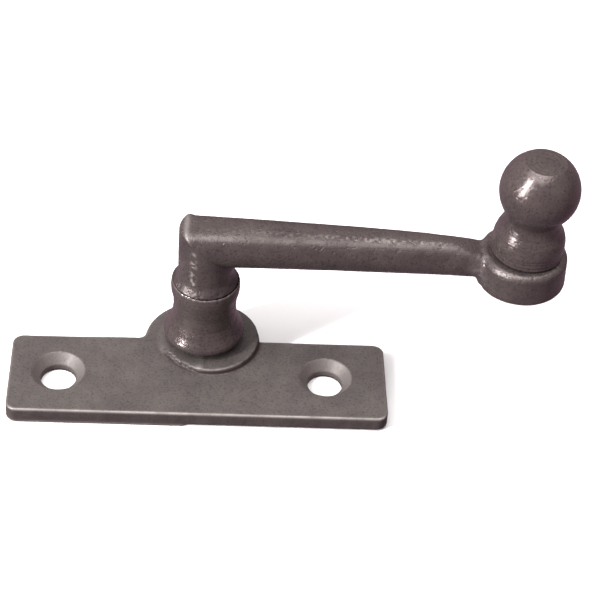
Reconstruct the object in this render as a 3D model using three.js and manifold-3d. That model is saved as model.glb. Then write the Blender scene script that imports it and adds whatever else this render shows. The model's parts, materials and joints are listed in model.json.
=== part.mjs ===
// Casement window fastener: a crank with a ball knob that turns on a screwed strip plate.
// Turning the crank swings its end over the sash and holds the casement shut.
// Millimetres. +Z points away from the window frame, +X from the spindle to the knob.
// The origin is on the rear face of the strip, halfway along it and halfway across it.

import * as THREE from 'three';
import { mergeVertices } from 'three/addons/utils/BufferGeometryUtils.js';
import Module from 'manifold-3d';

const wasm = await Module();
wasm.setup();

// ---- Driving dimensions ----

// Plate: a punched strip with a round lobe at its back edge and a raised seat on the lobe.
const stripLength = 66;
const stripWidth = 18.4;
const stripThickness = 3;
const stripCorner = 1.9;
const edgeBevel = 0.3;
const lobeX = 0.4;
const lobeY = 9.05;
const lobeRadius = 10.1;
const lobeFillet = 1.5;
const seatX = 1.9;
const seatRadius = 8.6;
const seatRise = 1.0;
const recessRadius = 7.6;
const recessDepth = 1.3;

// Countersunk holes for 5 mm wood screws, one in each end of the strip.
const leftHoleX = -24.5;
const rightHoleX = 22.4;
const holeY = 0.5;
const holeRadius = 3;
const countersinkRadius = 4.55;
const countersinkDepth = 1.6;

// Spindle: the turned lower end of the crank, which runs in the plate's bore.
const spindleX = 0.7;
const spindleY = 9.35;
const spindleRadius = 3.5;
const runningClearance = 0.1;

// Bell collar on the spindle, between the plate and the foot of the crank's stem. Its heights
// are above its own underside.
const flangeRadius = 7.1;
const flangeRound = 1.1;
const flangeTop = 2.5;
const neckRadius = 5.5;
const neckBottom = 7.3;
const neckTop = 9.2;
const bulgeRadius = 6.05;
const bulgeMiddle = 12.1;
const rimRadius = 5.7;
const collarHeight = 13.55;

// Crank: a round stem, a mitred elbow, a tapered arm and an eye at the arm's end.
const stemRadius = 4.7;
const stemFootHeight = 2;
const armAxisHeight = 26.3;
const armStartRadius = 4.4;
const armEndRadius = 3.2;
const eyeReach = 53.9;
const eyeRadius = 7.95;
const eyeHeight = 6.2;
const eyeTop = 28.2;
const eyeRound = 1.2;
const elbowChamfer = 1.2;
const mitreOverlap = 0.05;

// Angle that the handle stands at, off the plate's length.
const restAngle = -1.7;

// Ball knob, riveted through the eye by its own tenon. It leans a little away from the spindle.
const knobReach = 54.55;
const knobLean = 1.7;
const knobBaseRadius = 6.3;
const knobBaseRound = 0.4;
const knobBaseHeight = 2.6;
const waistRadius = 4.45;
const neckAngle = -47;
const waistHeight = 7.4;
const ballRadius = 6.9;
const ballHeight = 13.1;
const ballFlatRadius = 3.25;
const tenonRadius = 2.6;

// Rear washer, held by the peened tail of the spindle.
const washerRadius = 6.8;
const washerThickness = 0.9;
const peenSpread = 1.1;

// Space between pieces that touch or clamp each other. The knob stands a little higher off the
// eye, because it leans.
const gap = 0.3;
const faceGap = 0.15;
const knobLift = 0.2;

// How far a cutter passes the surface that it opens.
const overrun = 1;

// Fineness of the round surfaces.
const roundSegments = 40;
const outlineSegments = 12;
const weldDistance = 1e-4;

// ---- Heights worked out from them ----

const seatTop = stripThickness + seatRise;
const collarBottom = seatTop + gap;
const collarTop = collarBottom + collarHeight;
const stemBottom = collarTop + gap;
const stemTop = armAxisHeight + armStartRadius;
const eyeUnderside = eyeTop - eyeHeight;
const washerTop = recessDepth - faceGap;
const washerBottom = washerTop - washerThickness;
const tailBottom = washerBottom + faceGap / 2;

// ---- Shape helpers ----

function arc(centreRadius, centreHeight, radius, fromDegrees, toDegrees, steps) {
  const points = [];
  for (let step = 0; step <= steps; step += 1) {
    const degrees = fromDegrees + (toDegrees - fromDegrees) * step / steps;
    const angle = THREE.MathUtils.degToRad(degrees);
    points.push([centreRadius + radius * Math.cos(angle), centreHeight + radius * Math.sin(angle)]);
  }
  return points;
}

// A smooth change of radius between two heights, level at both ends.
function cove(fromRadius, fromHeight, toRadius, toHeight, steps) {
  const points = [];
  for (let step = 0; step <= steps; step += 1) {
    const share = step / steps;
    const eased = share * share * (3 - 2 * share);
    const radius = fromRadius + (toRadius - fromRadius) * eased;
    const height = fromHeight + (toHeight - fromHeight) * share;
    points.push([radius, height]);
  }
  return points;
}

// Turns a profile of [radius, height] points, listed from bottom to top, about the Z axis.
function turned(profile) {
  const points = profile.map(([radius, height]) => new THREE.Vector2(radius, height));
  const geometry = new THREE.LatheGeometry(points, roundSegments);
  geometry.rotateX(Math.PI / 2);
  return weld(geometry);
}

// Merges shared vertices and drops the triangles that collapse on the axis.
function weld(geometry) {
  geometry.deleteAttribute('normal');
  geometry.deleteAttribute('uv');
  const welded = mergeVertices(geometry, weldDistance);
  const corners = Array.from(welded.index.array);
  const kept = [];
  for (let first = 0; first < corners.length; first += 3) {
    const [a, b, c] = corners.slice(first, first + 3);
    if (a !== b && b !== c && c !== a) {
      kept.push(a, b, c);
    }
  }
  welded.setIndex(kept);
  welded.computeVertexNormals();
  return welded;
}

function solidOf(geometry) {
  const vertProperties = Float32Array.from(geometry.attributes.position.array);
  const triVerts = Uint32Array.from(geometry.index.array);
  return new wasm.Manifold(new wasm.Mesh({ numProp: 3, vertProperties, triVerts }));
}

function geometryOf(solid) {
  const mesh = solid.getMesh();
  const geometry = new THREE.BufferGeometry();
  geometry.setAttribute('position', new THREE.BufferAttribute(mesh.vertProperties, 3));
  geometry.setIndex(new THREE.BufferAttribute(mesh.triVerts, 1));
  geometry.computeVertexNormals();
  return geometry;
}

function cylinder(radius, bottom, top) {
  return turned([[0, bottom], [radius, bottom], [radius, top], [0, top]]);
}

function piece(name, geometry, material) {
  const mesh = new THREE.Mesh(geometry, material);
  mesh.name = name;
  return mesh;
}

// ---- Mounting plate ----

function plateOutline() {
  const endX = stripLength / 2 - stripCorner;
  const sideY = stripWidth / 2 - stripCorner;
  const backY = stripWidth / 2;
  const lobeStart = Math.asin((backY - lobeY) / lobeRadius);
  const filletRise = backY + lobeFillet - lobeY;
  const lobeEnd = Math.PI - Math.asin(filletRise / (lobeRadius + lobeFillet));
  const filletX = lobeX + (lobeRadius + lobeFillet) * Math.cos(lobeEnd);
  const outline = new THREE.Shape();
  outline.absarc(endX, -sideY, stripCorner, -Math.PI / 2, 0);
  outline.absarc(endX, sideY, stripCorner, 0, Math.PI / 2);
  outline.absarc(lobeX, lobeY, lobeRadius, lobeStart, lobeEnd);
  outline.absarc(filletX, backY + lobeFillet, lobeFillet, lobeEnd - Math.PI, -Math.PI / 2, true);
  outline.absarc(-endX, sideY, stripCorner, Math.PI / 2, Math.PI);
  outline.absarc(-endX, -sideY, stripCorner, Math.PI, 3 * Math.PI / 2);
  return outline;
}

function plateBlank() {
  const blank = new THREE.ExtrudeGeometry(plateOutline(), {
    depth: stripThickness - 2 * edgeBevel,
    bevelThickness: edgeBevel,
    bevelSize: edgeBevel,
    bevelOffset: -edgeBevel,
    bevelSegments: 1,
    curveSegments: outlineSegments,
  });
  blank.translate(0, 0, edgeBevel);
  return weld(blank);
}

function screwHoleCutter(x) {
  const coneBottom = stripThickness - countersinkDepth;
  const cutter = turned([
    [0, -overrun],
    [holeRadius, -overrun],
    [holeRadius, coneBottom],
    [countersinkRadius, stripThickness],
    [countersinkRadius, stripThickness + overrun],
    [0, stripThickness + overrun],
  ]);
  cutter.translate(x, holeY, 0);
  return cutter;
}

function plateGeometry() {
  const seat = cylinder(seatRadius, stripThickness / 2, seatTop);
  seat.translate(seatX, spindleY, 0);
  const bore = cylinder(spindleRadius + runningClearance, -overrun, seatTop + overrun);
  bore.translate(spindleX, spindleY, 0);
  const recess = cylinder(recessRadius, -overrun, recessDepth);
  recess.translate(spindleX, spindleY, 0);
  let plate = solidOf(plateBlank()).add(solidOf(seat));
  for (const cutter of [bore, recess, screwHoleCutter(leftHoleX), screwHoleCutter(rightHoleX)]) {
    plate = plate.subtract(solidOf(cutter));
  }
  return geometryOf(plate);
}

// ---- Bell collar, turned about the spindle axis; its underside is at height zero ----

function collarGeometry() {
  const boreRadius = spindleRadius + gap;
  const profile = [
    [boreRadius, 0],
    ...arc(flangeRadius - flangeRound, flangeRound, flangeRound, -90, 0, 4),
    ...cove(flangeRadius, flangeTop, neckRadius, neckBottom, 6),
    ...cove(neckRadius, neckTop, bulgeRadius, bulgeMiddle, 4),
    [rimRadius, collarHeight],
    [boreRadius, collarHeight],
    [boreRadius, 0],
  ];
  return turned(profile);
}

// ---- Crank: spindle, stem, elbow, arm and eye in one forging ----

function stemGeometry() {
  const profile = [
    [0, tailBottom],
    [spindleRadius + peenSpread, tailBottom],
    [spindleRadius, tailBottom + peenSpread],
    [spindleRadius, stemBottom],
    ...cove(rimRadius, stemBottom, stemRadius, stemBottom + stemFootHeight, 4),
    [stemRadius, stemTop],
    [0, stemTop],
  ];
  return turned(profile);
}

function armGeometry() {
  const start = -stemRadius;
  const profile = [[0, start], [armStartRadius, start], [armEndRadius, eyeReach], [0, eyeReach]];
  const arm = turned(profile);
  arm.rotateY(Math.PI / 2);
  arm.translate(0, 0, armAxisHeight);
  return arm;
}

// A block that cuts away everything past the elbow's mitre plane, on the arm's side (1) or on
// the stem's side (-1). It leaves a little past the plane, so that the two halves join.
function mitreBlock(side) {
  const size = 4 * eyeReach;
  const block = new THREE.BoxGeometry(size, size, size);
  block.translate(side * (size / 2 + mitreOverlap), 0, 0);
  block.rotateY(-Math.PI / 4);
  block.translate(0, 0, armAxisHeight);
  return weld(block);
}

function elbowCornerCutter() {
  const size = 4 * elbowChamfer;
  const corner = new THREE.BoxGeometry(size, 4 * stemRadius, size);
  corner.translate(0, 0, size / 2);
  corner.rotateY(-Math.PI / 4);
  corner.translate(elbowChamfer - stemRadius, 0, stemTop);
  return weld(corner);
}

function eyeGeometry() {
  const profile = [
    [0, eyeUnderside],
    ...arc(eyeRadius - eyeRound, eyeUnderside + eyeRound, eyeRound, -90, 0, 3),
    ...arc(eyeRadius - eyeRound, eyeTop - eyeRound, eyeRound, 0, 90, 3),
    [0, eyeTop],
  ];
  const eye = turned(profile);
  eye.translate(eyeReach, 0, 0);
  return eye;
}

// The hole for the knob's tenon, at the knob's lean and countersunk below for the peened end.
function tenonHoleCutter() {
  const holeWall = tenonRadius + gap;
  const cutter = turned([
    [0, -eyeHeight - overrun],
    [holeWall + peenSpread, -eyeHeight - overrun],
    [holeWall + peenSpread, -eyeHeight],
    [holeWall, peenSpread - eyeHeight],
    [holeWall, overrun],
    [0, overrun],
  ]);
  cutter.rotateY(THREE.MathUtils.degToRad(knobLean));
  cutter.translate(knobReach, 0, eyeTop);
  return cutter;
}

// Clears the arm's back away from the knob's base, which stands on the eye.
function knobSeatCutter() {
  const cutter = cylinder(knobBaseRadius + gap, 0, eyeHeight);
  cutter.translate(knobReach, 0, eyeTop);
  return cutter;
}

function crankGeometry() {
  const stem = solidOf(stemGeometry()).subtract(solidOf(mitreBlock(1)));
  const arm = solidOf(armGeometry()).subtract(solidOf(mitreBlock(-1)));
  const crank = stem.add(arm)
    .subtract(solidOf(elbowCornerCutter()))
    .add(solidOf(eyeGeometry()))
    .subtract(solidOf(knobSeatCutter()))
    .subtract(solidOf(tenonHoleCutter()));
  return geometryOf(crank);
}

// ---- Ball knob, turned in one piece with its tenon; its base is at height zero ----

function knobGeometry() {
  const tenonBottom = faceGap - eyeHeight - knobLift;
  const flatAngle = THREE.MathUtils.radToDeg(Math.acos(ballFlatRadius / ballRadius));
  const flatHeight = ballHeight + Math.sqrt(ballRadius ** 2 - ballFlatRadius ** 2);
  const profile = [
    [0, tenonBottom],
    [tenonRadius + peenSpread, tenonBottom],
    [tenonRadius, tenonBottom + peenSpread],
    [tenonRadius, 0],
    [knobBaseRadius - knobBaseRound, 0],
    [knobBaseRadius, knobBaseRound],
    ...cove(knobBaseRadius, knobBaseHeight, waistRadius, waistHeight, 6),
    ...arc(0, ballHeight, ballRadius, neckAngle, flatAngle, 10),
    [0, flatHeight],
  ];
  return turned(profile);
}

// ---- Rear washer, countersunk for the spindle's tail ----

function washerGeometry() {
  const holeWall = spindleRadius + gap;
  const profile = [
    [holeWall + peenSpread, washerBottom],
    [washerRadius, washerBottom],
    [washerRadius, washerTop],
    [holeWall, washerTop],
    [holeWall + peenSpread, washerBottom],
  ];
  return turned(profile);
}

// ---- Assembly ----

const plateIron = new THREE.MeshStandardMaterial({ color: 0x6b645d, roughness: 0.55, metalness: 0.7 });
const turnedIron = new THREE.MeshStandardMaterial({ color: 0x544b45, roughness: 0.45, metalness: 0.7 });
const forgedIron = new THREE.MeshStandardMaterial({ color: 0x4d4540, roughness: 0.6, metalness: 0.6 });
const knobIron = new THREE.MeshStandardMaterial({ color: 0x50463f, roughness: 0.4, metalness: 0.7 });
const washerSteel = new THREE.MeshStandardMaterial({ color: 0x77726c, roughness: 0.5, metalness: 0.8 });

const knob = piece('ball_knob', knobGeometry(), knobIron);
knob.position.set(knobReach, 0, eyeTop + knobLift);
knob.rotation.y = THREE.MathUtils.degToRad(knobLean);

const collar = piece('bell_collar', collarGeometry(), turnedIron);
collar.position.set(0, 0, collarBottom);

const handle = new THREE.Group();
handle.add(piece('crank_arm', crankGeometry(), forgedIron));
handle.add(collar);
handle.add(piece('rear_washer', washerGeometry(), washerSteel));
handle.add(knob);
handle.position.set(spindleX, spindleY, 0);
handle.rotation.z = THREE.MathUtils.degToRad(restAngle);

const group = new THREE.Group();
group.add(piece('mounting_plate', plateGeometry(), plateIron));
group.add(handle);

export default group;
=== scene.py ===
"""Casement window fastener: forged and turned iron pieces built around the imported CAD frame.

Shapes are worked out in millimetres and turned into metres when a mesh is made. Forged and
punched pieces are the zero surface of a distance field; turned pieces are lathe profiles.
"""
import json
import math

import bpy
import numpy as np
from mathutils import Matrix, Vector


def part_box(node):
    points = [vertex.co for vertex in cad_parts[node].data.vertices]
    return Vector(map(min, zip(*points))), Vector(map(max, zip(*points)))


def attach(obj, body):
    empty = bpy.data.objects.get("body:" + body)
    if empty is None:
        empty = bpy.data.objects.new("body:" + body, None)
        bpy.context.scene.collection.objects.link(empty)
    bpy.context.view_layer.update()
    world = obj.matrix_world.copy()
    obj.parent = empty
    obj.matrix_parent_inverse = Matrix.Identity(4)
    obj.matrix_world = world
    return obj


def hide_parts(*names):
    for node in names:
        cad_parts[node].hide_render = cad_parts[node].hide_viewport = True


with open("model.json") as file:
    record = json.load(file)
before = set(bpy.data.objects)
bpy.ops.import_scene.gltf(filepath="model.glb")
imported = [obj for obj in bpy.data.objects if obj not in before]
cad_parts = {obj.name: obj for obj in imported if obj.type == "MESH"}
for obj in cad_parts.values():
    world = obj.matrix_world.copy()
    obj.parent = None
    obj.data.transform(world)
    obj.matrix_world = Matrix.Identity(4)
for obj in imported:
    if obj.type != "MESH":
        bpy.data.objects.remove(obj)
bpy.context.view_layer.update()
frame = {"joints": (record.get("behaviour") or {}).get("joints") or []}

MM = 0.001

# ---- Sizes, in millimetres ----

plate_low, plate_high = (np.array(corner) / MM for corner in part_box("mounting_plate"))
SPINDLE = np.array(frame["joints"][0]["pos_m"]) / MM
REST_ANGLE = math.radians(-1.7)

STRIP_LENGTH = plate_high[0] - plate_low[0]
STRIP_WIDTH = -2 * plate_low[1]
STRIP_TOP = 3.0
STRIP_CORNER = 1.9
TOP_ROUND = 0.28
LOBE = (0.4, 9.05)
LOBE_RADIUS = 10.1
SEAT = (1.9, 9.35)
SEAT_RADIUS = 8.6
SEAT_TOP = plate_high[2]
RECESS_RADIUS = 7.6
RECESS_DEPTH = 1.3
HOLES = ((-24.5, 0.5), (22.35, 0.75))
HOLE_RADIUS = 3.1
SINK_RADIUS = 4.65
SINK_DEPTH = 1.75

SPINDLE_RADIUS = 3.5
BORE_CLEARANCE = 0.1
COLLAR_BOTTOM = SEAT_TOP + 0.3  # the CAD collar's foot; the foot made here is 0.5 higher
COLLAR_HEIGHT = 13.55
RIM_HEIGHT = COLLAR_BOTTOM + COLLAR_HEIGHT
STEM_RADIUS = 4.82
ARM_HEIGHT = 26.3
ARM_RADIUS = 4.42
ARM_TAPER = 0.0215
EYE_REACH = 54.2
EYE_RADIUS = 7.88
EYE_TOP = 28.2
EYE_BOTTOM = 22.05
KNOB_REACH = 54.52
KNOB_LEAN = math.radians(1.7)
KNOB_LIFT = 0.1
KNOB_TOP = 19.18
TENON_RADIUS = 2.6

HANDLE_PLACE = Matrix.Translation(Vector((*SPINDLE[:2], 0))) @ Matrix.Rotation(REST_ANGLE, 4, "Z")
KNOB_PLACE = (HANDLE_PLACE @ Matrix.Translation(Vector((KNOB_REACH, 0, EYE_TOP + KNOB_LIFT)))
              @ Matrix.Rotation(KNOB_LEAN, 4, "Y"))


# ---- Distance fields ----

def smooth_min(a, b, blend):
    """The lower of two fields, with the corner between them filled over that blend."""
    share = np.clip(0.5 + 0.5 * (b - a) / blend, 0, 1)
    return b * (1 - share) + a * share - blend * share * (1 - share)


def smooth_max(a, b, blend):
    return -smooth_min(-a, -b, blend)


def ease(value, low, high):
    """0 below low, 1 above high, and smooth between them."""
    share = np.clip((value - low) / (high - low), 0, 1)
    return share * share * (3 - 2 * share)


def rounded_join(across, along, radius):
    """Outside distance of the edge where two faces meet, rounded off to that radius."""
    a = across + radius
    b = along + radius
    outside = np.sqrt(np.maximum(a, 0) ** 2 + np.maximum(b, 0) ** 2)
    return outside + np.minimum(np.maximum(a, b), 0) - radius


def rod(across_a, across_b, radius):
    return np.sqrt(across_a ** 2 + across_b ** 2) - radius


def lattice_noise(points, size, seed):
    """Smooth random values from -1 to 1, with bumps about that many millimetres apart."""
    side = 24
    lattice = np.random.default_rng(seed).uniform(-1, 1, (side, side, side))
    scaled = points / size
    base = np.floor(scaled).astype(int)
    share = scaled - base
    share = share * share * (3 - 2 * share)
    total = np.zeros(len(points))
    for corner in np.ndindex(2, 2, 2):
        weight = np.prod(np.where(corner, share, 1 - share), axis=1)
        i, j, k = ((base + corner) % side).T
        total += weight * lattice[i, j, k]
    return total


def surface_net(field, low, high, cell):
    """Vertices and quads of the closed surface where field(x, y, z) is zero."""
    low = np.array(low, float) - 2.37 * cell
    counts = np.ceil((np.array(high) - low) / cell).astype(int) + 3
    grid = np.meshgrid(*(low[i] + cell * np.arange(counts[i]) for i in range(3)),
                       indexing="ij", sparse=True)
    values = np.broadcast_to(field(*grid), counts)
    unit = np.eye(3, dtype=int)
    keys = []
    crossings = []
    outward = []
    for axis in range(3):
        step = unit[axis]
        start = values[:counts[0] - step[0], :counts[1] - step[1], :counts[2] - step[2]]
        end = values[step[0]:, step[1]:, step[2]:]
        edges = np.argwhere((start < 0) != (end < 0))
        at_start = start[tuple(edges.T)]
        at_end = end[tuple(edges.T)]
        crossing = low + cell * (edges + np.outer(at_start / (at_start - at_end), step))
        u = unit[(axis + 1) % 3]
        v = unit[(axis + 2) % 3]
        ring = np.stack([edges, edges - u, edges - u - v, edges - v], axis=1)
        keys.append(np.ravel_multi_index(np.moveaxis(ring, 2, 0), counts))
        crossings.append(crossing)
        outward.append(at_start < 0)
    keys = np.concatenate(keys)
    crossings = np.repeat(np.concatenate(crossings), 4, axis=0)
    outward = np.concatenate(outward)
    _, quads = np.unique(keys, return_inverse=True)
    quads = quads.reshape(keys.shape)
    hits = np.bincount(quads.ravel())
    vertices = np.stack([np.bincount(quads.ravel(), crossings[:, i]) / hits for i in range(3)], axis=1)
    quads[~outward] = quads[~outward][:, ::-1]
    return settled(field, vertices, cell), quads


def slope(field, points):
    """The field's direction of steepest rise at each point."""
    reach = 0.03
    rise = [field(*(points + reach * axis).T) - field(*(points - reach * axis).T) for axis in np.eye(3)]
    return np.stack(rise, axis=1) / (2 * reach)


def settled(field, points, cell):
    """Moves points onto the field's zero surface."""
    for _ in range(3):
        rise = slope(field, points)
        step = field(*points.T) / np.maximum((rise ** 2).sum(axis=1), 0.2)
        points = points - np.clip(step, -0.5 * cell, 0.5 * cell)[:, None] * rise
    return points


def pushed(field, points, height):
    """Moves points along the surface's outward direction by height(points) millimetres."""
    rise = slope(field, points)
    length = np.sqrt((rise ** 2).sum(axis=1, keepdims=True))
    return points + rise / np.maximum(length, 0.2) * height(points)[:, None]


# ---- Lathe profiles ----

def filleted(corners, step=0.18):
    """A dense profile through [radius, height, fillet] corners, listed from bottom to top."""
    points = [np.array(c[:2], float) for c in corners]
    path = [points[0]]
    for before, here, after, corner in zip(points, points[1:], points[2:], corners[1:-1]):
        into = (here - before) / np.linalg.norm(here - before)
        out = (after - here) / np.linalg.norm(after - here)
        turn = math.acos(np.clip(into @ out, -1, 1))
        if corner[2] == 0 or turn < 1e-3:
            path.append(here)
            continue
        room = corner[2] * math.tan(turn / 2)
        start = here - into * room
        end = here + out * room
        for share in np.linspace(0, 1, max(4, int(turn * corner[2] / 0.08))):
            path.append((1 - share) ** 2 * start + 2 * share * (1 - share) * here + share ** 2 * end)
    path.append(points[-1])
    dense = [path[0]]
    for here, there in zip(path, path[1:]):
        pieces = max(1, int(np.linalg.norm(there - here) / step))
        dense += [here + (there - here) * (i + 1) / pieces for i in range(pieces)]
    return np.array(dense)


def turned(profile, segments, shape=None):
    """Vertices and faces of a profile turned about Z. shape moves the points (radius, angle, height)."""
    closed = np.allclose(profile[0], profile[-1])
    rings = profile[:-1] if closed else profile
    angle = np.linspace(0, 2 * math.pi, segments, endpoint=False)
    radius = np.repeat(rings[:, :1], segments, axis=1)
    height = np.repeat(rings[:, 1:], segments, axis=1)
    around = np.repeat(angle[None], len(rings), axis=0)
    if shape:
        radius, height = shape(radius, around, height)
    vertices = np.stack([radius * np.cos(around), radius * np.sin(around), height], axis=2)
    index = np.arange(len(rings) * segments).reshape(len(rings), segments)
    beside = np.roll(index, -1, axis=1)
    last = len(rings) if closed else len(rings) - 1
    faces = []
    for ring in range(last):
        above = (ring + 1) % len(rings)
        faces += np.stack([index[ring], beside[ring], beside[above], index[above]], axis=1).tolist()
    if not closed:
        faces.append(index[0][::-1].tolist())
        faces.append(index[-1].tolist())
    return vertices.reshape(-1, 3), faces


# ---- Making pieces ----

def add_piece(name, vertices, faces, place, material, body, node, wear_and_highlight=None, painted_shade_and_scale=None):
    """Makes a smooth mesh object that stands for a CAD node.

    The two last arguments give each point's brightening, from wear and painted highlights, and its
    darkening, from painted shade and some scale, both from 0 to 1.
    """
    mesh = bpy.data.meshes.new(name)
    points = np.asarray(vertices) @ np.array(place.to_3x3()).T + np.array(place.translation)
    mesh.from_pydata((points * MM).tolist(), [], faces if isinstance(faces, list) else faces.tolist())
    mesh.validate()
    mesh.polygons.foreach_set("use_smooth", [True] * len(mesh.polygons))
    mesh.materials.append(material)
    for attribute, values in (("wear_and_highlight", wear_and_highlight), ("painted_shade_and_scale", painted_shade_and_scale)):
        if values is not None:
            mesh.attributes.new(attribute, "FLOAT", "POINT").data.foreach_set("value", values)
    piece = bpy.data.objects.new(name, mesh)
    bpy.context.scene.collection.objects.link(piece)
    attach(piece, body)
    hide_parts(node)


# ---- Mounting plate ----

def strip_field(x, y):
    half_length = STRIP_LENGTH / 2 - STRIP_CORNER
    half_width = STRIP_WIDTH / 2 - STRIP_CORNER
    a = np.abs(x) - half_length
    swell = 0.3 * np.exp(-((x + 10) / 9) ** 2) * (y > 0)
    b = np.abs(y) - half_width - swell
    outside = np.sqrt(np.maximum(a, 0) ** 2 + np.maximum(b, 0) ** 2)
    return outside + np.minimum(np.maximum(a, b), 0) - STRIP_CORNER


def outline_field(x, y):
    lobe = rod(x - LOBE[0], y - LOBE[1], LOBE_RADIUS)
    fillet = np.where(x < LOBE[0], 1.3, 0.25)
    return smooth_min(strip_field(x, y), lobe, fillet)


def seat_field(x, y, z):
    """The raised seat: crisp in front and to the right, soft on the left, torn at the front left."""
    angle = np.degrees(np.arctan2(y - SEAT[1], x - SEAT[0])) % 360
    left = ease(angle, 95, 140) * (1 - ease(angle, 196, 212))
    torn = ease(angle, 196, 206) * (1 - ease(angle, 250, 256))
    ragged = 0.13 * np.sin(angle * 0.31) + 0.10 * np.sin(angle * 0.9 + 1) + 0.06 * np.sin(angle * 2.3)
    side = rod(x - SEAT[0], y - SEAT[1], SEAT_RADIUS)
    side = side - torn * (ragged - 0.3) - 1.0 * left * ease(STRIP_TOP + 1 - z, 0, 1.2)
    right = ease(angle, 275, 320) + 1 - ease(angle, 60, 95)
    wall = side - (0.05 + 0.2 * np.clip(right, 0, 1)) * ease(STRIP_TOP + 0.9 - z, 0, 1)
    burr = 0.16 * np.exp(-((angle - 258) / 5) ** 2)
    top = z - SEAT_TOP + 0.13 + 0.018 * (SEAT[0] - x) + 0.15 * left - burr
    soften = 0.10 + 1.2 * left + 0.1 * torn
    return smooth_max(wall, top, soften)


def plate_field(x, y, z):
    outline = outline_field(x, y)
    front_left = ease(-y, 6, 8) * (1 - ease(x, -2.6, -1.8))
    burr = 0.12 * front_left * np.exp(-(z / 0.35) ** 2)
    low_round = 0.18 + 0.5 * ease(-y, 6, 8) * (1 - front_left)
    dish = 0.16 * np.exp(-((x - 3.5) ** 2 / 60 + (y + 0.8) ** 2 / 14))
    slab = np.maximum(
        rounded_join(outline, z - STRIP_TOP + dish, TOP_ROUND),
        rounded_join(outline - burr, -z, low_round),
    )
    blank = smooth_min(slab, np.maximum(seat_field(x, y, z), -z + 1), 0.2)
    recess = np.maximum(rod(x - SPINDLE[0], y - SPINDLE[1], RECESS_RADIUS), z - RECESS_DEPTH)
    bore = rod(x - SPINDLE[0], y - SPINDLE[1], SPINDLE_RADIUS + BORE_CLEARANCE)
    solid = smooth_max(smooth_max(blank, -recess, 0.15), -bore, 0.15)
    for hole_x, hole_y in HOLES:
        shank = rod(x - hole_x, y - hole_y, HOLE_RADIUS)
        flare = (SINK_RADIUS - HOLE_RADIUS) / SINK_DEPTH
        cone = rod(x - hole_x, y - hole_y, HOLE_RADIUS) - flare * (z - STRIP_TOP + SINK_DEPTH)
        cone = cone / math.hypot(1, flare)
        solid = smooth_max(solid, -np.minimum(shank, cone), 0.1)
    return solid


def plate_unevenness(points):
    broad = 0.03 * lattice_noise(points, 7, 1)
    fine = 0.008 * lattice_noise(points, 0.9, 2)
    return broad + fine


def near(distance, width):
    """1 on a line or edge, fading out over that width."""
    return np.exp(-(distance / width) ** 2)


def plate_wear_and_painted_highlight(points):
    """Bright machined cones and edges rubbed to bare metal; the plate's front top edge and the seat's front
    rim are brighter still, a painted highlight.
    """
    x, y, z = points.T
    outline = outline_field(x, y)
    # Partly wear, partly painted highlight: the front top edge is made brighter than the back.
    top_edge = near(np.hypot(outline, z - STRIP_TOP), 0.28) * (0.35 + 0.65 * ease(-y, 8, 9))
    low_edge = near(np.hypot(outline, z), 0.3) * ease(-y, 6, 8)
    patchy = 0.5 + 0.5 * lattice_noise(points, 1.1, 8)
    wear_and_highlight = np.maximum(top_edge, low_edge) * (0.45 + 0.55 * patchy)
    # Painted highlight along the seat's front rim.
    seat_side = rod(x - SEAT[0], y - SEAT[1], SEAT_RADIUS)
    front = ease(SEAT[1] - y, 2, 7)
    wear_and_highlight = np.maximum(wear_and_highlight, 0.55 * front * patchy * near(np.hypot(seat_side, z - SEAT_TOP + 0.15), 0.3))
    torn_corner = near(np.hypot(x - SEAT[0] + 1.9, y - SEAT[1] + 8.3), 0.7) * (z > SEAT_TOP - 0.5)
    wear_and_highlight = np.maximum(wear_and_highlight, 0.7 * torn_corner * patchy)
    for hole_x, hole_y in HOLES:
        radius = rod(x - hole_x, y - hole_y, 0)
        cone = 0.2 * (radius < SINK_RADIUS + 0.03) * (z > 0.3) * (z < STRIP_TOP - 0.04)
        wear_and_highlight = np.maximum(wear_and_highlight, cone)
    return np.clip(wear_and_highlight, 0, 1)


def plate_painted_shade(points):
    """Painted shade: dark at the foot of the seat's wall along its torn front and its right side, a dark
    arc along its soft left side, and the plate's side faces darkened.
    """
    x, y, z = points.T
    angle = np.degrees(np.arctan2(y - SEAT[1], x - SEAT[0])) % 360
    side = rod(x - SEAT[0], y - SEAT[1], SEAT_RADIUS)
    crisp = ease(angle, 196, 206) + 1 - ease(angle, 60, 95)
    # Painted shade on the seat's wall and at its foot, front and right.
    wall = near(side - 0.1, 0.3) * (z > STRIP_TOP - 0.1) * (1 - ease(z, SEAT_TOP - 0.5, SEAT_TOP - 0.2))
    # Painted shade: a dark arc just outside the seat's soft left side, where it folds down into the plate.
    contour = near(side - 1.1, 0.35) * ease(angle, 130, 150) * (1 - ease(angle, 205, 215))
    # Painted shade on the plate's side faces.
    edge = 0.45 * (np.abs(outline_field(x, y)) < 0.2) * near(z - 1.4, 1.1)
    patchy = 0.6 + 0.4 * lattice_noise(points, 0.9, 10)
    return np.clip(0.9 * np.clip(crisp, 0, 1) * wall + (0.35 * contour + edge) * patchy, 0, 1)


def build_plate(material):
    low = (*plate_low[:2], 0)
    vertices, faces = surface_net(plate_field, low, plate_high, 0.22)
    vertices = pushed(plate_field, vertices, plate_unevenness)
    vertices = np.clip(vertices, plate_low + 0.002, plate_high - 0.002)
    add_piece("forged_plate", vertices, faces, Matrix.Identity(4), material,
              "plate", "mounting_plate",
              wear_and_highlight=plate_wear_and_painted_highlight(vertices), painted_shade_and_scale=plate_painted_shade(vertices))


# ---- Crank arm: stem, elbow, arm, eye, and the hidden spindle ----

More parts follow.
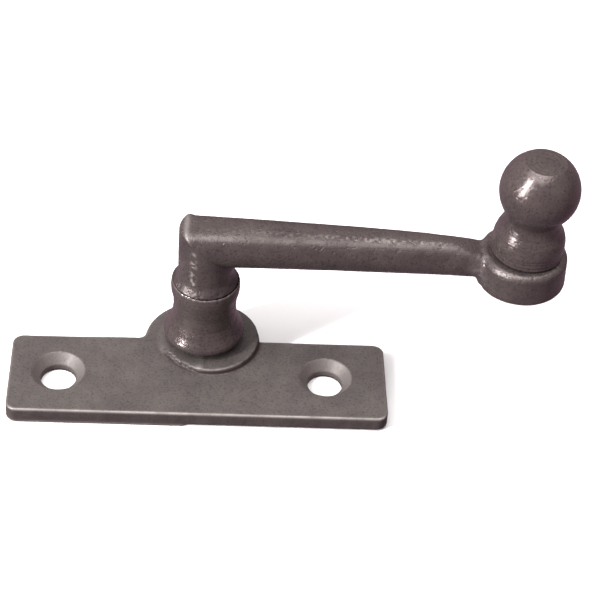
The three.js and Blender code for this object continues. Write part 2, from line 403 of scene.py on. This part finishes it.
def bend_field(x, y, z):
    """Stem and arm meeting at a mitre: sharp inside the bend, a short ridge outside it."""
    flare = 1.02 * (1 - ease(z, RIM_HEIGHT - 0.5, RIM_HEIGHT + 1.9))
    stem = rod(x + 0.1, y, STEM_RADIUS + flare)
    along = np.clip(x, -6, 60)
    axis = ARM_HEIGHT + 0.13 * np.sin(np.clip(along, 0, 36) * math.pi / 36) - 0.6 * ease(along, 34, 51)
    arm = rod(y, z - axis, ARM_RADIUS - ARM_TAPER * along - 0.15 * ease(along, 32, 46))
    soft = 0.35 + 0.5 * ease(z - ARM_HEIGHT - x, 6, 9)
    mitre = ease((z - ARM_HEIGHT + x) / soft, -1, 1)
    bend = stem * (1 - mitre) + arm * mitre
    corner = (z - ARM_HEIGHT - x) / math.sqrt(2) - 6.4
    bend = smooth_max(bend, corner, 1.3)
    return np.maximum(bend, RIM_HEIGHT - 0.12 - z)


def eye_field(x, y, z):
    side = rod(x - EYE_REACH, y, EYE_RADIUS - 0.055 * (z - EYE_BOTTOM))
    top = rounded_join(side, z - EYE_TOP, 1.2)
    bottom = rounded_join(side, EYE_BOTTOM - z, 0.8)
    return np.maximum(top, bottom)


def crank_field(x, y, z):
    arm_top = EYE_TOP - 0.25 + 1.9 * (1 - ease(x, 41, 48.5))
    arm = smooth_max(bend_field(x, y, z), z - arm_top, 0.8)
    arm = np.maximum(arm, x - EYE_REACH)
    solid = smooth_min(arm, eye_field(x, y, z), 0.7)
    lean_x = x - KNOB_REACH - math.tan(KNOB_LEAN) * (z - EYE_TOP)
    over_eye = np.maximum(rod(lean_x, y, 6.6), EYE_TOP - z)
    solid = smooth_max(solid, -over_eye, 0.1)
    sink = np.maximum(TENON_RADIUS + 0.15, TENON_RADIUS + 1.25 - (z - EYE_BOTTOM))
    solid = np.maximum(solid, -(rod(lean_x, y, 0) - sink))
    shaft = np.maximum(rod(x, y, SPINDLE_RADIUS), z - RIM_HEIGHT - 1)
    tail = np.maximum(rod(x, y, 0) - np.clip(4.75 - z, SPINDLE_RADIUS, 4.6), z - 2)
    head = smooth_max(np.minimum(shaft, tail), 0.3 - z + 0.012 * (x ** 2 + y ** 2), 0.25)
    return np.minimum(solid, head)


def crank_unevenness(points):
    x, y, z = points.T
    broad = 0.04 * lattice_noise(points, 6, 3)
    dents = 0.025 * lattice_noise(points, 2.2, 4)
    skin = 0.010 * lattice_noise(points, 0.7, 5)
    junction = 0.10 * np.exp(-((x - 47) / 1.3) ** 2) * lattice_noise(points, 0.8, 6)
    foot = np.exp(-((z - RIM_HEIGHT - 0.5) / 0.6) ** 2) * (x < 3)
    pits = -0.18 * foot * np.maximum(lattice_noise(points, 0.8, 7), 0)
    forged = ease(z, RIM_HEIGHT, RIM_HEIGHT + 0.4)
    return forged * (broad + dents + skin + junction + pits)


def crank_wear_and_painted_highlight(points):
    """The mitre's ridge, the eye's rim and a blotch beside it are rubbed bright; the speckled lines along
    the arm and down the stem are painted highlights.
    """
    x, y, z = points.T
    ridge = near(z - ARM_HEIGHT + x, 0.45) * ease(z - ARM_HEIGHT - x, 4.5, 8)
    rim = near(np.hypot(rod(x - EYE_REACH, y, EYE_RADIUS - 0.6), z - EYE_TOP + 0.2), 0.45)
    blotch = near(np.hypot(x - 46.5, np.hypot(y + 3.3, z - 25.5)), 1.3)
    patchy = 0.5 + 0.5 * lattice_noise(points, 0.6, 9)
    # Painted highlights: speckled bright lines where the lamps' reflections run along the arm's top and
    # down the stem.
    arm_painted_highlight = near(np.hypot(y + 1.2, z - ARM_HEIGHT - 4.15 + 0.02 * x), 0.45) * (1 - ease(x, 38, 46))
    stem_painted_highlight = near(np.hypot(x + 2.15, y + 4.3), 0.5) * (1 - ease(z, ARM_HEIGHT, ARM_HEIGHT + 1.5))
    speckle = np.clip(0.1 + 1.6 * lattice_noise(points, 0.4, 11), 0, 1)
    painted_highlights = 0.7 * arm_painted_highlight + 1.3 * stem_painted_highlight * ease(z, RIM_HEIGHT + 1, RIM_HEIGHT + 2)
    return np.clip(0.6 * ridge + patchy * (0.15 * rim + 0.6 * blotch) + painted_highlights * speckle, 0, 1)


def crank_scale_and_painted_shade(points):
    """Dull scale and painted shade round the stem's foot, and painted shade along the middle of the arm's
    two faces.
    """
    x, y, z = points.T
    # Partly dull scale, partly painted shade where the stem flares into the collar's rim.
    foot = near(z - RIM_HEIGHT - 0.4, 0.9) * (x < 7)
    axis_height = ARM_HEIGHT - 0.01 * x
    slant = np.degrees(np.arctan2(z - axis_height, np.abs(y)))
    # Painted shade: a dark band along the middle of both arm faces, about 42 degrees above the arm's axis.
    painted_arm_shade = near(slant - 42, 20) * ease(x, 3, 8) * (1 - ease(x, 40, 47))
    patchy = 0.6 + 0.4 * lattice_noise(points, 1.3, 12)
    return np.clip((0.6 * foot + 0.8 * painted_arm_shade) * patchy, 0, 1)


def build_crank(material):
    low = (-STEM_RADIUS - 0.6, -EYE_RADIUS, 0.25)
    high = (EYE_REACH + EYE_RADIUS, EYE_RADIUS, ARM_HEIGHT + 4.8)
    vertices, faces = surface_net(crank_field, low, high, 0.25)
    vertices = pushed(crank_field, vertices, crank_unevenness)
    add_piece("forged_crank", vertices, faces, HANDLE_PLACE, material,
              "handle", "crank_arm",
              wear_and_highlight=crank_wear_and_painted_highlight(vertices), painted_shade_and_scale=crank_scale_and_painted_shade(vertices))


# ---- Bell collar ----

def collar_shape(radius, angle, height):
    """A ragged burr round the rim, and faint turning marks below it."""
    ragged = 0.5 * np.sin(angle * 9 + 1) + 0.5 * np.sin(angle * 23) + 0.4 * np.sin(angle * 41 + 2)
    rim = ease(height, COLLAR_HEIGHT - 0.7, COLLAR_HEIGHT - 0.1) * (radius > 4.4)
    marks = 0.010 * np.sin(height * 9) + 0.008 * np.sin(height * 23 + 1)
    outside = ease(radius, 4.4, 4.5)
    return radius + outside * marks + 0.03 * rim * ragged, height + 0.07 * rim * ragged


def build_collar(material):
    corners = [
        (3.8, 0.5, 0), (6.0, 0.5, 0.15), (6.92, 1.35, 0.35), (7.13, 1.85, 0.4), (7.0, 2.4, 0.8),
        (6.3, 3.7, 2.0), (5.72, 5.4, 2.5), (5.48, 7.6, 2.5), (5.58, 9.6, 2.0), (5.98, 11.4, 1.5),
        (6.04, 12.3, 0.8), (5.98, 13.2, 0.3), (5.84, 13.5, 0.06), (5.7, 13.45, 0.05),
        (5.55, 13.0, 0.1), (3.8, 13.0, 0), (3.8, 0.5, 0),
    ]
    vertices, faces = turned(filleted(corners), 180, collar_shape)
    rim = near(np.hypot(rod(*vertices.T[:2], 5.88), vertices[:, 2] - COLLAR_HEIGHT), 0.25)
    place = HANDLE_PLACE @ Matrix.Translation(Vector((0, 0, COLLAR_BOTTOM)))
    add_piece("turned_collar", vertices, faces, place, material,
              "handle", "bell_collar", wear_and_highlight=0.3 * rim)


# ---- Ball knob ----

def knob_shape(radius, angle, height):
    """Fine lathe rings, grooves round the foot, wider rings on the faced-off top, and an uneven neck."""
    rings = 0.008 * np.sin(height * 21) + 0.006 * np.sin(height * 47 + 2)
    foot = 1 - ease(height, 2.3, 2.6)
    grooves = foot * (0.05 * np.sin(height * 8.5) + 0.06)
    faced = ease(height, KNOB_TOP - 0.09, KNOB_TOP - 0.02)
    facing = 0.03 * np.sin(radius * 7.5) * ease(radius, 0.1, 0.5)
    outside = ease(radius, 2.8, 3.2) * (1 - faced)
    sideways = 0.15 * ease(height, 4, 6) * (1 - ease(height, 8, 11)) * np.cos(angle)
    return radius + outside * (rings - grooves - sideways), height + faced * facing


def build_knob(material):
    ball_height = 13.35
    ball = 6.84
    flat = math.sqrt(ball ** 2 - (KNOB_TOP - ball_height) ** 2)
    bottom = EYE_BOTTOM - EYE_TOP - KNOB_LIFT + 0.2
    base = [
        (0.02, bottom - 0.05, 0), (2.6, bottom, 0.4), (3.55, bottom + 0.15, 0.3),
        (2.6, bottom + 1.2, 0.2), (2.6, 0.05, 0), (5.9, 0.05, 0.1), (6.22, 0.3, 0.2),
        (6.26, 1.4, 0.6), (6.26, 2.5, 0.3), (6.16, 3.5, 1.0), (5.85, 4.6, 1.5), (5.2, 5.9, 1.8),
        (4.6, 7.6, 2.2),
    ]
    around = np.radians(np.linspace(-35, math.degrees(math.acos(flat / ball)), 60))
    sphere = [(ball * math.cos(a), ball_height + ball * math.sin(a), 0) for a in around]
    facing = [(2.0, KNOB_TOP + 0.03, 0.3), (0.02, KNOB_TOP + 0.02, 0)]
    vertices, faces = turned(filleted(base + sphere + facing), 160, knob_shape)
    add_piece("turned_knob", vertices, faces, KNOB_PLACE, material,
              "handle", "ball_knob")


# ---- Rear washer ----

def build_washer(material):
    corners = [
        (4.9, 0.28, 0), (6.55, 0.28, 0.2), (6.78, 0.45, 0.15), (6.78, 1.0, 0.15),
        (6.6, 1.14, 0.1), (3.85, 1.14, 0), (4.9, 0.28, 0),
    ]
    vertices, faces = turned(filleted(corners), 96)
    add_piece("punched_washer", vertices, faces, HANDLE_PLACE, material,
              "handle", "rear_washer")


# ---- Materials ----

# Dark colour laid on by painted shade and scale.
SHADE_AND_SCALE_DARK = (0.030, 0.016, 0.018)
# Bright colour laid on by wear and painted highlights.
BARE_METAL_AND_HIGHLIGHT = (0.40, 0.36, 0.34)
DULL = (0.62, 0.62, 0.62)
POLISHED = (0.26, 0.26, 0.26)


class Nodes:
    """Short calls for building a material's node tree."""

    def __init__(self, name):
        self.material = bpy.data.materials.new(name)
        self.material.use_nodes = True
        self.tree = self.material.node_tree
        self.shader = self.tree.nodes["Principled BSDF"]
        self.where = self.tree.nodes.new("ShaderNodeTexCoord").outputs["Object"]

    def link(self, source, target):
        self.tree.links.new(source, target)

    def noise(self, per_mm, detail, roughness):
        """Noise with about that many features to the millimetre."""
        mapping = self.tree.nodes.new("ShaderNodeMapping")
        mapping.inputs["Scale"].default_value = [per_mm / MM] * 3
        noise = self.tree.nodes.new("ShaderNodeTexNoise")
        noise.inputs["Scale"].default_value = 1.0
        noise.inputs["Detail"].default_value = detail
        noise.inputs["Roughness"].default_value = roughness
        self.link(self.where, mapping.inputs["Vector"])
        self.link(mapping.outputs["Vector"], noise.inputs["Vector"])
        return noise.outputs["Fac"]

    def attribute(self, name):
        """A value stored on the mesh's points."""
        node = self.tree.nodes.new("ShaderNodeAttribute")
        node.attribute_name = name
        return node.outputs["Fac"]

    def ramp(self, factor, *stops):
        """Maps a factor to colours or grey values at (place, value) stops."""
        ramp = self.tree.nodes.new("ShaderNodeValToRGB")
        elements = ramp.color_ramp.elements
        while len(elements) < len(stops):
            elements.new(0.5)
        for element, (place, value) in zip(elements, stops):
            element.position = place
            rgb = value if isinstance(value, tuple) else (value, value, value)
            element.color = (*rgb, 1)
        self.link(factor, ramp.inputs["Fac"])
        return ramp.outputs["Color"]

    def mix(self, factor, first, second, blend="MIX"):
        node = self.tree.nodes.new("ShaderNodeMix")
        node.data_type = "RGBA"
        node.blend_type = blend
        for socket, value in ((node.inputs["Factor"], factor), (node.inputs["A"], first),
                              (node.inputs["B"], second)):
            self.put(socket, value)
        return [o for o in node.outputs if o.type == "RGBA"][0]

    def put(self, socket, value):
        if isinstance(value, bpy.types.NodeSocket):
            self.link(value, socket)
        elif isinstance(value, tuple):
            socket.default_value = (*value, 1)
        else:
            socket.default_value = value

    def bump(self, height, strength, distance_mm, under=None):
        node = self.tree.nodes.new("ShaderNodeBump")
        node.inputs["Strength"].default_value = strength
        node.inputs["Distance"].default_value = distance_mm * MM
        self.link(height, node.inputs["Height"])
        if under:
            self.link(under, node.inputs["Normal"])
        return node.outputs["Normal"]


def iron(name, dark, light, rough, metallic, grain, pits):
    """Bare waxed iron: mottled colour, uneven gloss, a fine grain and small pits.

    The mesh's darkening (painted shade and some scale) darkens and dulls it, and its brightening (wear and
    painted highlights) makes points brighter and smoother.
    """
    n = Nodes(name)
    mottle = n.noise(0.22, 5, 0.6)
    specks = n.noise(2.6, 3, 0.6)
    colour = n.ramp(mottle, (0.3, dark), (0.7, light))
    speckled = n.ramp(specks, (0.36, 0.62), (0.47, 1.0), (0.66, 1.0), (0.78, 1.22))
    colour = n.mix(1.0, colour, speckled, "MULTIPLY")
    # Painted shade and scale darken the colour and dull the gloss.
    painted_shade_and_scale = n.attribute("painted_shade_and_scale")
    colour = n.mix(painted_shade_and_scale, colour, SHADE_AND_SCALE_DARK)
    # Wear and painted highlights brighten the colour and smooth the gloss.
    wear_and_highlight = n.attribute("wear_and_highlight")
    n.link(n.mix(wear_and_highlight, colour, BARE_METAL_AND_HIGHLIGHT), n.shader.inputs["Base Color"])
    gloss = n.ramp(n.noise(1.1, 4, 0.6), (0.3, rough - 0.09), (0.7, rough + 0.09))
    gloss = n.mix(painted_shade_and_scale, gloss, DULL)
    n.link(n.mix(wear_and_highlight, gloss, POLISHED), n.shader.inputs["Roughness"])
    n.shader.inputs["Metallic"].default_value = metallic
    fine = n.bump(n.noise(4.5, 3, 0.65), grain, 0.05)
    holes = n.ramp(n.noise(1.3, 2, 0.5), (0.3, 0.0), (0.42, 1.0))
    n.link(n.bump(holes, pits, 0.06, fine), n.shader.inputs["Normal"])
    return n.material


def plate_material():
    return iron("punched iron", (0.063, 0.052, 0.051), (0.094, 0.081, 0.075),
                rough=0.6, metallic=0.25, grain=0.3, pits=0.3)


def crank_material():
    return iron("forged iron", (0.070, 0.053, 0.055), (0.110, 0.092, 0.085),
                rough=0.27, metallic=0.45, grain=0.9, pits=0.7)


def turned_material(name):
    return iron(name, (0.082, 0.062, 0.064), (0.123, 0.101, 0.094),
                rough=0.18, metallic=0.5, grain=0.5, pits=0.5)


def washer_material():
    return iron("dull steel", (0.14, 0.125, 0.12), (0.2, 0.185, 0.175),
                rough=0.5, metallic=0.7, grain=0.3, pits=0.2)


# ---- Camera, light and floor ----

CAMERA_DISTANCE = 355.2
CAMERA_LENS = 116
LIGHT_AIM = (0.015, 0, 0.02)


def add_camera():
    """A long lens looking down on the plate from the front, a little from the left, and rolled."""
    elevation = math.radians(42.8)
    azimuth = math.radians(4.73)
    roll = math.radians(5.05)
    aim = Vector((18.3, 20.5, STRIP_TOP)) * MM
    back = Vector((-math.sin(azimuth) * math.cos(elevation), -math.cos(azimuth) * math.cos(elevation),
                   math.sin(elevation)))
    camera = bpy.data.objects.new("camera", bpy.data.cameras.new("camera"))
    camera.data.lens = CAMERA_LENS
    camera.data.clip_start = 0.01
    turn = back.to_track_quat("Z", "Y").to_matrix().to_4x4() @ Matrix.Rotation(roll, 4, "Z")
    camera.matrix_world = Matrix.Translation(aim + back * CAMERA_DISTANCE * MM) @ turn
    bpy.context.scene.collection.objects.link(camera)
    bpy.context.scene.camera = camera


def add_softbox(name, place, size, power):
    light = bpy.data.lights.new(name, "AREA")
    light.shape = "RECTANGLE"
    light.size, light.size_y = size
    light.energy = power
    lamp = bpy.data.objects.new(name, light)
    lamp.location = place
    lamp.rotation_euler = (Vector(LIGHT_AIM) - Vector(place)).to_track_quat("-Z", "Y").to_euler()
    bpy.context.scene.collection.objects.link(lamp)


def add_world():
    """Dim studio air: a soft pale glow from above, and a dimmer purplish one from below."""
    world = bpy.data.worlds.new("studio")
    world.use_nodes = True
    nodes = world.node_tree.nodes
    links = world.node_tree.links
    split = nodes.new("ShaderNodeSeparateXYZ")
    ramp = nodes.new("ShaderNodeValToRGB")
    links.new(nodes.new("ShaderNodeTexCoord").outputs["Generated"], split.inputs[0])
    links.new(split.outputs["Z"], ramp.inputs["Fac"])
    ramp.color_ramp.elements[0].color = (0.30, 0.20, 0.25, 1)
    ramp.color_ramp.elements[1].color = (0.60, 0.56, 0.54, 1)
    links.new(ramp.outputs["Color"], nodes["Background"].inputs["Color"])
    nodes["Background"].inputs["Strength"].default_value = 1.0
    bpy.context.scene.world = world


def add_floor():
    """A pale floor that sends no light back to the object, so the object's undersides stay dark."""
    mesh = bpy.data.meshes.new("floor")
    half = 3.0
    mesh.from_pydata([(-half, -half, 0), (half, -half, 0), (half, half, 0), (-half, half, 0)], [],
                     [(0, 1, 2, 3)])
    material = bpy.data.materials.new("pale floor")
    material.use_nodes = True
    shader = material.node_tree.nodes["Principled BSDF"]
    shader.inputs["Base Color"].default_value = (0.88, 0.88, 0.88, 1)
    shader.inputs["Roughness"].default_value = 0.9
    mesh.materials.append(material)
    floor = bpy.data.objects.new("floor", mesh)
    floor.location = (0, 0, -0.0001)
    bpy.context.scene.collection.objects.link(floor)
    floor.visible_diffuse = False
    floor.visible_glossy = False


# ---- Everything together ----

build_plate(plate_material())
build_crank(crank_material())
build_collar(turned_material("turned iron"))
build_knob(turned_material("knob iron"))
build_washer(washer_material())

add_camera()
add_floor()
add_world()
add_softbox("key", place=(-0.77, -0.46, 0.52), size=(0.03, 1.00), power=24)
add_softbox("top", place=(-0.05, -0.06, 1.00), size=(0.90, 0.90), power=11)
bpy.context.scene.view_settings.view_transform = "Standard"
